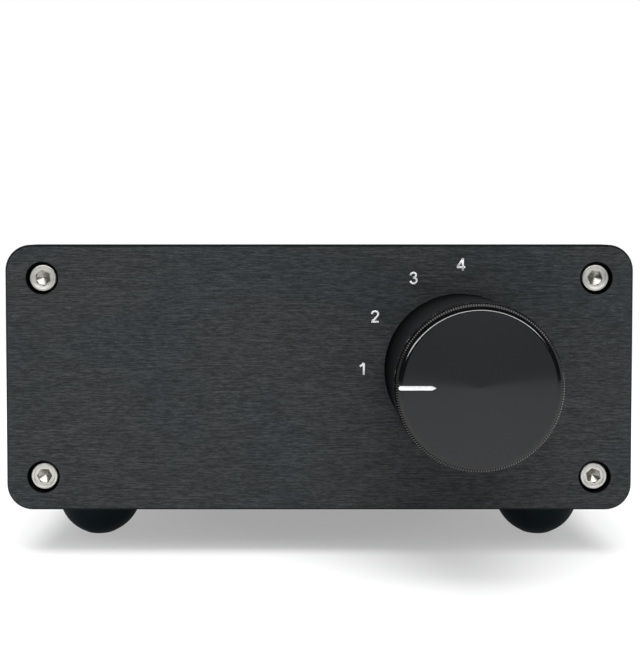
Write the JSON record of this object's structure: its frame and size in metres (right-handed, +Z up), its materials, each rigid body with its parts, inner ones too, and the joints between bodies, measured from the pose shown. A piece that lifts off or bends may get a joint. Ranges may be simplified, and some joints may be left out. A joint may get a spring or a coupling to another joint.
{
  "type": "audio source selector",
  "caption": "Desktop audio source selector: a black sleeve case with a round detented knob on a brushed front panel, red and black phono jacks behind and dome feet.",
  "frame": {"origin": "on the surface under the feet, under the middle of the whole object's box", "axes": "+X right and +Z up as seen from the front, +Y from the front panel to the rear panel"},
  "size_m": [0.1224, 0.13, 0.061],
  "materials": {
    "panel_black": "brushed and anodised black",
    "sleeve_black": "satin anodised black",
    "knob_black": "turned and anodised black",
    "nickel": "bright nickel",
    "black_screw": "black oxide",
    "rubber": "matt",
    "pad_foam": "adhesive foam",
    "pointer_silver": "bare milled",
    "steel": "turned",
    "bushing_brass": "nickelled brass",
    "switch_plastic": "moulded",
    "nylon": "moulded",
    "contact_brass": "spring bronze",
    "phenolic": "laminate",
    "tinned": "tinned brass",
    "board_green": "solder resist",
    "ribbon_grey": "flat cable",
    "connector_black": "moulded",
    "gold": "gold plated",
    "jack_red": "moulded",
    "jack_black": "moulded"
  },
  "bodies": {
    "case": {"front_panel": "panel_black", "rear_panel": "panel_black", "body_sleeve": "sleeve_black", "front_screws": "nickel", "switch_nut": "nickel", "switch_washer": "nickel", "rear_screws": "black_screw", "foot_front_left": "rubber", "foot_front_right": "rubber", "foot_rear_left": "rubber", "foot_rear_right": "rubber", "foot_pads": "pad_foam", "index_plate": "steel", "detent_spring": "steel", "switch_tie_screws": "steel", "switch_bushing": "bushing_brass", "index_housing": "switch_plastic", "contact_wafer": "phenolic", "contact_pins": "tinned", "ground_lugs": "tinned", "switch_board": "board_green", "rear_board": "board_green", "ribbon_cable": "ribbon_grey", "ribbon_plugs": "connector_black", "board_headers": "connector_black", "inner_washers": "connector_black", "jack_out_right": "gold", "jack_in1_right": "gold", "jack_in2_right": "gold", "jack_in3_right": "gold", "jack_in4_right": "gold", "jack_out_left": "gold", "jack_in1_left": "gold", "jack_in2_left": "gold", "jack_in3_left": "gold", "jack_in4_left": "gold", "centre_contacts": "gold", "jack_nuts": "gold", "outer_washers_red": "jack_red", "jack_cores_red": "jack_red", "outer_washers_black": "jack_black", "jack_cores_black": "jack_black"},
    "selector": {"knob": "knob_black", "knob_pointer": "pointer_silver", "knob_set_screw": "black_screw", "switch_shaft": "steel", "shaft_clip": "steel", "index_cam": "nylon", "rotor": "nylon", "wiper_contacts": "contact_brass"},
    "detent": {"detent_ball": "steel"}
  },
  "joints": [
    {"name": "selector_turn", "type": "hinge", "parent": "case", "child": "selector", "pos_m": [0.0274, -0.0375, 0.0368], "axis": [0, 1, 0], "range_deg": [0, 90]},
    {"name": "detent_drop", "type": "slide", "parent": "case", "child": "detent", "axis": [0, 0, 1], "range_m": [-0.0006, 0], "stiffness_N_per_m": 20, "springref_m": -0.0006, "deforming": ["detent_spring"]}
  ]
}
